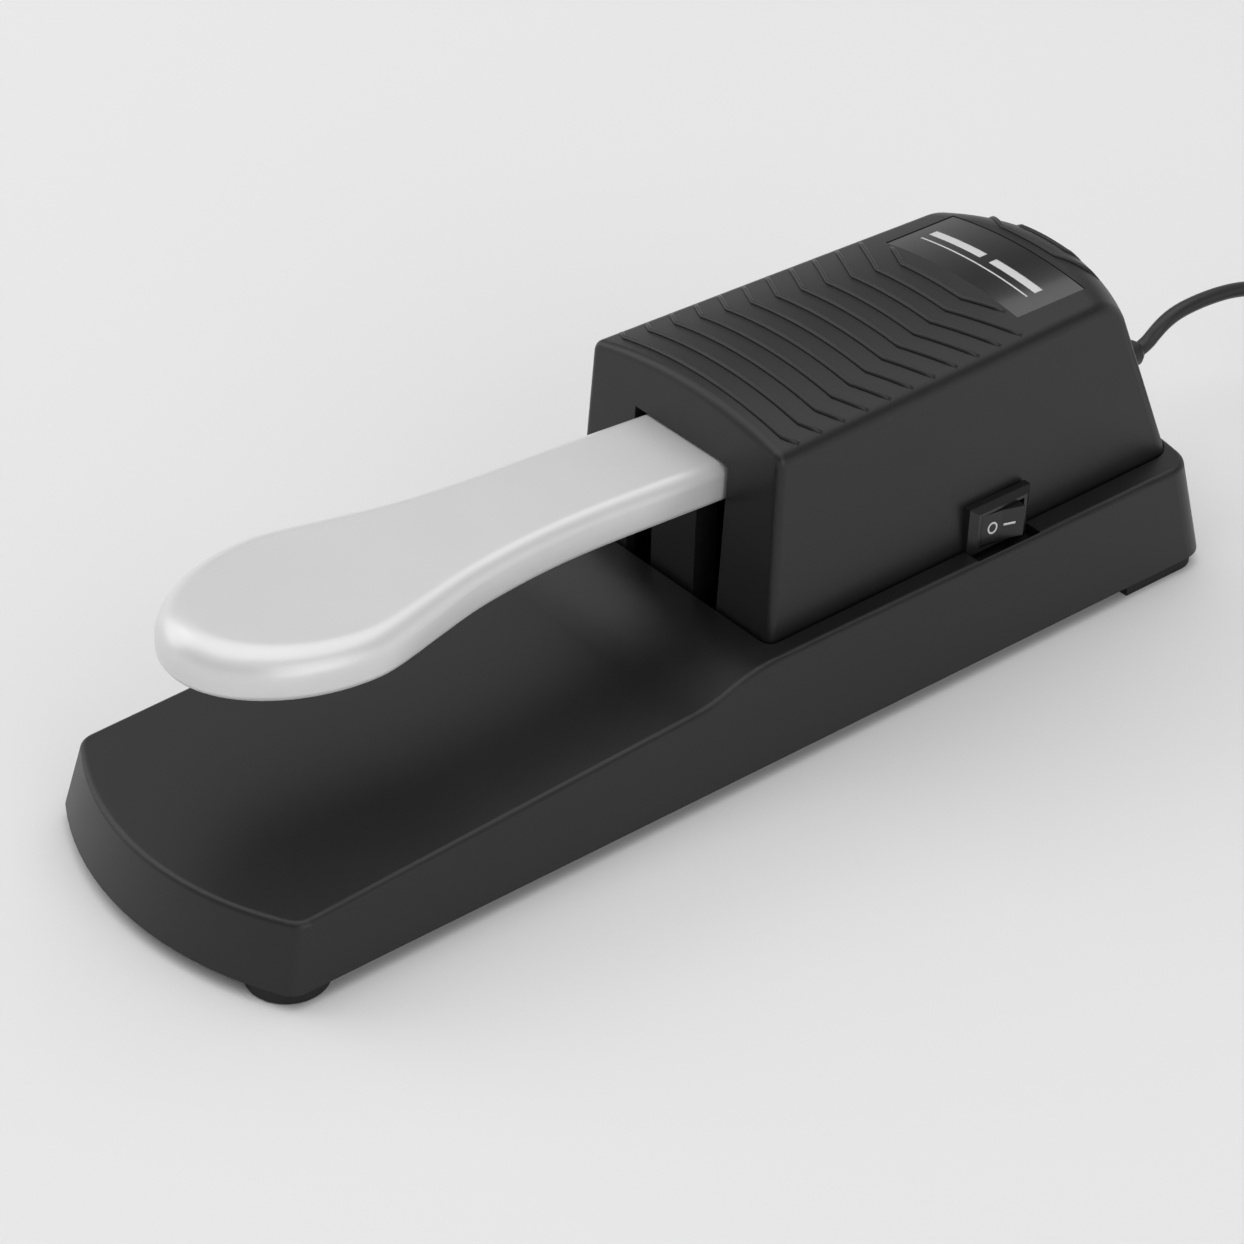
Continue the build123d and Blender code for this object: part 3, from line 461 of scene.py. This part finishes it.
def make_rocker_marks():
    """Ring on the pressed end and bar on the raised end of the rocker."""
    tree = BVHTree.FromObject(nodes["rocker_key"], bpy.context.evaluated_depsgraph_get())
    low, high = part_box("rocker_key")
    middle_z = (low.z + high.z) / 2

    def face_at(y, z):
        place, normal, _, _ = tree.ray_cast(Vector((high.x + 0.01, y, z)), Vector((-1, 0, 0)))
        return place + normal * MARK_PROUD

    ring_y = low.y + (high.y - low.y) * RING_AT
    rings = []
    for k in range(RING_STEPS + 1):
        a = 2 * pi * k / RING_STEPS
        rings.append([face_at(ring_y + r * cos(a) * RING_SQUEEZE, middle_z + r * sin(a)) for r in RING_RADII])
    points, faces = join_rings(rings, closed=False, caps=False)
    ring = make_piece("rocker_ring_mark", points, faces, "mark_white", "rocker")
    bar_y = low.y + (high.y - low.y) * BAR_AT
    rows = []
    for k in range(BAR_ROWS + 1):
        y = bar_y + (k / BAR_ROWS - 0.5) * BAR_LENGTH
        rows.append([face_at(y, middle_z + across) for across in BAR_ACROSS])
    points, faces = join_rings(rows, closed=False, caps=False)
    bar = make_piece("rocker_bar_mark", points, faces, "mark_white", "rocker")
    for piece in (ring, bar):
        skin = piece.modifiers.new("thickness", "SOLIDIFY")
        skin.thickness = MARK_SKIN
        skin.offset = 0


# ---------------------------------------------------------------- cord and plug

CORD_D = 3.3 * MM
LEAD_ROUTE = [
    (0.0, 134.4, 28.8), (0.0, 137.2, 29.5), (0.0, 139.7, 31.5), (0.0, 142.6, 33.3), (0.0, 146.4, 34.4),
    (0.0, 151.5, 34.7), (0.0, 157.5, 34.5), (0.2, 164.5, 33.7), (0.8, 172.0, 31.8), (2.2, 180.5, 28.0),
    (6.5, 187.8, 21.5), (14.5, 192.2, 14.8), (26.0, 192.85, 11.75),
]
TAIL_ROUTE = [
    (49.15, 216.0, 1.75), (49.0, 225.0, 1.75), (46.4, 234.6, 1.75), (40.8, 242.8, 2.0), (32.0, 248.2, 3.6),
    (21.0, 250.0, 5.4),
]
COIL_CENTRE = (26.0, 216.0)
COIL_COLUMNS = [23.15, 19.72, 16.28, 12.85]
COIL_LAYERS = [11.7, 8.38, 5.06, 1.75]
TURN_POINTS = 16


def coil_points():
    """Turns from the lead's end to the tail's start: out and in through the layers, top to bottom."""
    lanes = []
    for layer, z in enumerate(COIL_LAYERS):
        columns = COIL_COLUMNS[:3] if layer < 2 else COIL_COLUMNS
        order = columns if layer % 2 == 0 else list(reversed(columns))
        lanes += [(radius, z) for radius in order]
    points = []
    quarter = TURN_POINTS // 4
    total = len(lanes) * TURN_POINTS + quarter
    for k in range(1, total):
        turn = k / TURN_POINTS
        lane = min(int(turn), len(lanes) - 1)
        nxt = min(lane + 1, len(lanes) - 1)
        cross = min(1.0, max(0.0, (turn - lane - 0.75) * 4))
        ease = cross * cross * (3 - 2 * cross)
        radius = lanes[lane][0] + (lanes[nxt][0] - lanes[lane][0]) * ease
        z = lanes[lane][1] + (lanes[nxt][1] - lanes[lane][1]) * ease
        angle = -pi / 2 + 2 * pi * turn
        points.append((COIL_CENTRE[0] + radius * cos(angle), COIL_CENTRE[1] + radius * sin(angle), z))
    return points


def make_cord():
    """The whole cord as one spline: lead, coil and tail."""
    route = LEAD_ROUTE + coil_points() + TAIL_ROUTE
    curve = bpy.data.curves.new("cord", "CURVE")
    curve.dimensions = "3D"
    curve.bevel_depth = CORD_D / 2
    curve.bevel_resolution = 6
    curve.resolution_u = 6
    curve.use_fill_caps = True
    spline = curve.splines.new("NURBS")
    spline.points.add(len(route) - 1)
    for point, (x, y, z) in zip(spline.points, route):
        point.co = (x * MM, y * MM, z * MM, 1)
    spline.order_u = 3
    spline.use_endpoint_u = True
    curve.materials.append(FINISHES["cord_rubber"])
    cord = bpy.data.objects.new("cord", curve)
    bpy.context.scene.collection.objects.link(cord)
    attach(cord, "root")
    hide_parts("cord_lead", "cord_coil", "cord_tail")
    return cord


PLUG_HUB = 0.1 * MM         # radius at which a turned end closes
GROOVES = 7
GROOVE_PITCH = 1.9
GROOVE_DEPTH = 0.45 * MM
TIP_SHAPE = [
    (0.0, 0.02), (0.0, 0.93), (0.12, 0.93), (0.34, 0.62), (0.45, 0.62), (0.62, 0.95), (0.74, 0.93),
    (0.9, 0.55), (0.97, 0.3), (1.0, 0.02),
]                           # (share of the tip's length, share of the sleeve's radius)


def make_plug():
    """Plug's turned parts: ridged handle with its boot, sleeve and rounded tip."""
    low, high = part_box("plug_handle")
    y, z = (low.y + high.y) / 2, (low.z + high.z) / 2
    full, start, end = (high.z - low.z) / 2, high.x, low.x
    boot_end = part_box("plug_boot")[1].x
    profile = [(end, PLUG_HUB), (end, full * 0.78), (end + 0.6 * MM, full * 0.86)]
    profile += [(end + 1.6 * MM, full * 0.86), (end + 2.0 * MM, full * 0.98), (end + 6.0 * MM, full)]
    low_r = full - GROOVE_DEPTH
    for k in range(GROOVES):
        x = end + (7 + GROOVE_PITCH * k) * MM
        profile += [(x, full), (x + 0.3 * MM, low_r), (x + 1.0 * MM, low_r), (x + 1.3 * MM, full)]
    profile += [(start - 4 * MM, full), (start - 1 * MM, full * 0.8), (start, full * 0.52)]
    profile += [(start + 1 * MM, 2.4 * MM), (boot_end - 1 * MM, 2.2 * MM), (boot_end, 1.9 * MM)]
    profile += [(boot_end, PLUG_HUB)]
    handle = lathe_x("plug_grip", profile, y, z, "plug_black")
    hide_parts("plug_handle", "plug_boot")

    sleeve_low, sleeve_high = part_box("plug_sleeve")
    radius = (sleeve_high.z - sleeve_low.z) / 2
    profile = [(sleeve_high.x, PLUG_HUB), (sleeve_high.x, radius), (sleeve_low.x + 0.3 * MM, radius)]
    profile += [(sleeve_low.x, radius - 0.25 * MM), (sleeve_low.x, PLUG_HUB)]
    sleeve = lathe_x("plug_barrel", profile, y, z, "nickel")
    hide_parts("plug_sleeve")

    tip_low, tip_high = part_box("plug_tip")
    reach = tip_high.x - tip_low.x
    tip = lathe_x("plug_point", [(tip_high.x - t * reach, r * radius) for t, r in TIP_SHAPE], y, z, "nickel")
    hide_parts("plug_tip")
    return [handle, sleeve, tip]


# ---------------------------------------------------------------- pressed lever

PADDLE_HALF = 21.5
PADDLE_REACH = 29.8
PADDLE_WIDEST_Y = -83.3
LEVER_CUT_Y = 8.0
LEVER_HALF_WIDTHS = [
    (-83.3, 21.5), (-78, 20.84), (-66, 17.66), (-56, 15.16), (-46, 13.68), (-36, 12.83), (-26, 12.57),
    (-12, 12.57), (8, 12.5),
]
LEVER_TOPS = [(-113.1, 59.8), (-85, 58.73), (-55, 58.27), (-25, 57.75), (8, 56.05)]
LEVER_FILLETS = [(-113.1, 6.0), (-80, 4.1), (-50, 3.0), (8, 2.9)]
LEVER_DEPTHS = [(-113.1, 9.53), (8, 8.9)]
LIP_R = 2.3
TIP_STEPS = 24              # quarter turn from the tip to the widest place
SIDE_STEPS = 46             # from there to the cut
EDGE_STEPS = 12
LIP_STEPS = 6
LIP_TURN = radians(60)


def curve_at(table, y):
    """Smooth value between a table's rows."""
    count = len(table)
    k = 0
    while k < count - 2 and y > table[k + 1][0]:
        k += 1
    (y0, v0), (y1, v1) = table[k], table[k + 1]

    def slope(i):
        low, high = table[max(i - 1, 0)], table[min(i + 1, count - 1)]
        return (high[1] - low[1]) / (high[0] - low[0])

    span = y1 - y0
    t = min(1.0, max(0.0, (y - y0) / span))
    rise = 3 * t * t - 2 * t * t * t
    ease_in, ease_out = t * (1 - t) * (1 - t), t * t * (t - 1)
    first = 0.0 if table is LEVER_HALF_WIDTHS and k == 0 else slope(k)
    return v0 + (v1 - v0) * rise + span * (ease_in * first + ease_out * slope(k + 1))


def lever_section(y):
    """(inset, drop) pairs from the top face, over the edge, round the lip and up inside."""
    fillet, depth = curve_at(LEVER_FILLETS, y), curve_at(LEVER_DEPTHS, y)
    pairs = [(fillet + 0.6, 0.0)]
    for k in range(EDGE_STEPS + 1):
        a = k * pi / (2 * EDGE_STEPS)
        pairs.append((fillet * (1 - sin(a)), fillet * (1 - cos(a))))
    for k in range(1, LIP_STEPS + 1):
        a = k * LIP_TURN / LIP_STEPS
        pairs.append((LIP_R * (1 - cos(a)), depth - LIP_R + LIP_R * sin(a)))
    pairs += [(1.45, depth - 0.15), (1.9, depth - 0.45), (2.1, depth - 1.2)]
    return [*pairs, (2.1, 3.2), (3.0, 1.9), (fillet + 0.8, 1.5)]


def lever_outline():
    """Plan outline from the right side's cut, round the tip, to the left side's cut."""
    side = []
    for k in range(1, TIP_STEPS):
        a = k * pi / (2 * TIP_STEPS)
        side.append((PADDLE_HALF * sin(a), PADDLE_WIDEST_Y - PADDLE_REACH * cos(a)))
    for k in range(SIDE_STEPS + 1):
        y = PADDLE_WIDEST_Y + (LEVER_CUT_Y - PADDLE_WIDEST_Y) * k / SIDE_STEPS
        side.append((curve_at(LEVER_HALF_WIDTHS, y), y))
    tip = (0.0, PADDLE_WIDEST_Y - PADDLE_REACH)
    return [Vector(p) for p in [*reversed(side), tip, *[(-x, y) for x, y in side]]]


def make_lever():
    """Chrome lever: a pressed front with a broad rounded edge, and the CAD shape behind the slot."""
    outline = lever_outline()
    last = len(outline) - 1
    columns = []
    for k, spot in enumerate(outline):
        along = outline[min(k + 1, last)] - outline[max(k - 1, 0)]
        if k in (0, last):
            along = Vector((0, -1 if k == 0 else 1))
        inward = Vector((along.y, -along.x)).normalized()
        top = curve_at(LEVER_TOPS, spot.y)
        column = []
        for inset, drop in lever_section(spot.y):
            place = spot + inward * inset
            column.append((place.x * MM, place.y * MM, (top - drop) * MM))
        columns.append(column)
    points, faces = join_rings(columns, closed=False, caps=False)
    levels = len(columns[0])
    for level in (0, levels - 1):
        for k in range(last // 2):
            corners = [k, k + 1, last - k - 1, last - k]
            ring = [c * levels + level for c in corners]
            faces.append(tuple(dict.fromkeys(ring)))
    faces.append(tuple([*range(levels), *[last * levels + j for j in reversed(range(levels))]]))
    paddle = make_piece("lever_paddle", points, faces, "chrome", "pedal")
    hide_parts("pedal_lever")

    tail = copy_of("pedal_lever", "lever_tail", "chrome", "pedal")
    work = bmesh.new()
    work.from_mesh(tail.data)
    geometry = [*work.verts, *work.edges, *work.faces]
    cut = bmesh.ops.bisect_plane(
        work, geom=geometry, plane_co=(0, LEVER_CUT_Y * MM, 0), plane_no=(0, 1, 0), clear_inner=True
    )
    rim = [item for item in cut["geom_cut"] if isinstance(item, bmesh.types.BMEdge)]
    bmesh.ops.holes_fill(work, edges=rim)
    work.to_mesh(tail.data)
    work.free()


# ---------------------------------------------------------------- return spring and coil tie


def make_spring():
    """Return spring: a copy of the CAD spring with a mesh of its own, riding on the root."""
    spring = copy_of("return_spring", "spring_coil", "spring_steel", "root")
    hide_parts("return_spring")
    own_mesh(spring)


TIE_CORNERS = [(2.85, 1.75), (13.15, 1.75), (13.15, 5.06), (9.72, 11.7), (2.85, 11.7)]
TIE_INNER_R = 1.72
TIE_THICK = 0.9
TIE_LOW = 0.02              # least height over the floor of the strap's outer side
TIE_SHEET = 0.06            # how far its inner side stays over that
TIE_ARC_STEPS = 6
TIE_SECTION = [
    (-4.0, 0.25), (-3.75, 0), (3.75, 0), (4.0, 0.25), (4.0, 0.65), (3.7, 0.9), (-3.7, 0.9), (-4.0, 0.65),
]                           # (across the strap, out from the bundle)


def make_tie():
    """Strap drawn round the coil's bundle, following the outer turns."""
    corners = [Vector(c) for c in TIE_CORNERS]
    count = len(corners)
    rings = []
    for k, corner in enumerate(corners):
        before, after = corner - corners[k - 1], corners[(k + 1) % count] - corner
        start = Vector((before.y, -before.x)).normalized()
        turn = before.angle(after)
        for step in range(TIE_ARC_STEPS + 1):
            a = turn * step / TIE_ARC_STEPS
            out = Vector((start.x * cos(a) - start.y * sin(a), start.x * sin(a) + start.y * cos(a)))
            ring = []
            for across, lift in TIE_SECTION:
                spot = corner + out * (TIE_INNER_R + lift)
                low = TIE_LOW if lift > TIE_THICK / 2 else TIE_LOW + TIE_SHEET
                ring.append((spot.x * MM, (COIL_CENTRE[1] + across) * MM, max(spot.y, low) * MM))
            rings.append(ring)
    points, faces = join_rings([*rings, rings[0]], caps=False)
    tie = make_piece("coil_tie", points, faces, "tie_black")
    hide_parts("cord_tie")
    return tie


make_camera()
make_studio()
paint_nodes()
make_ribs()
make_label_marks()
make_rocker_marks()
cord = make_cord()
plug = make_plug()
make_lever()
make_spring()
tie = make_tie()
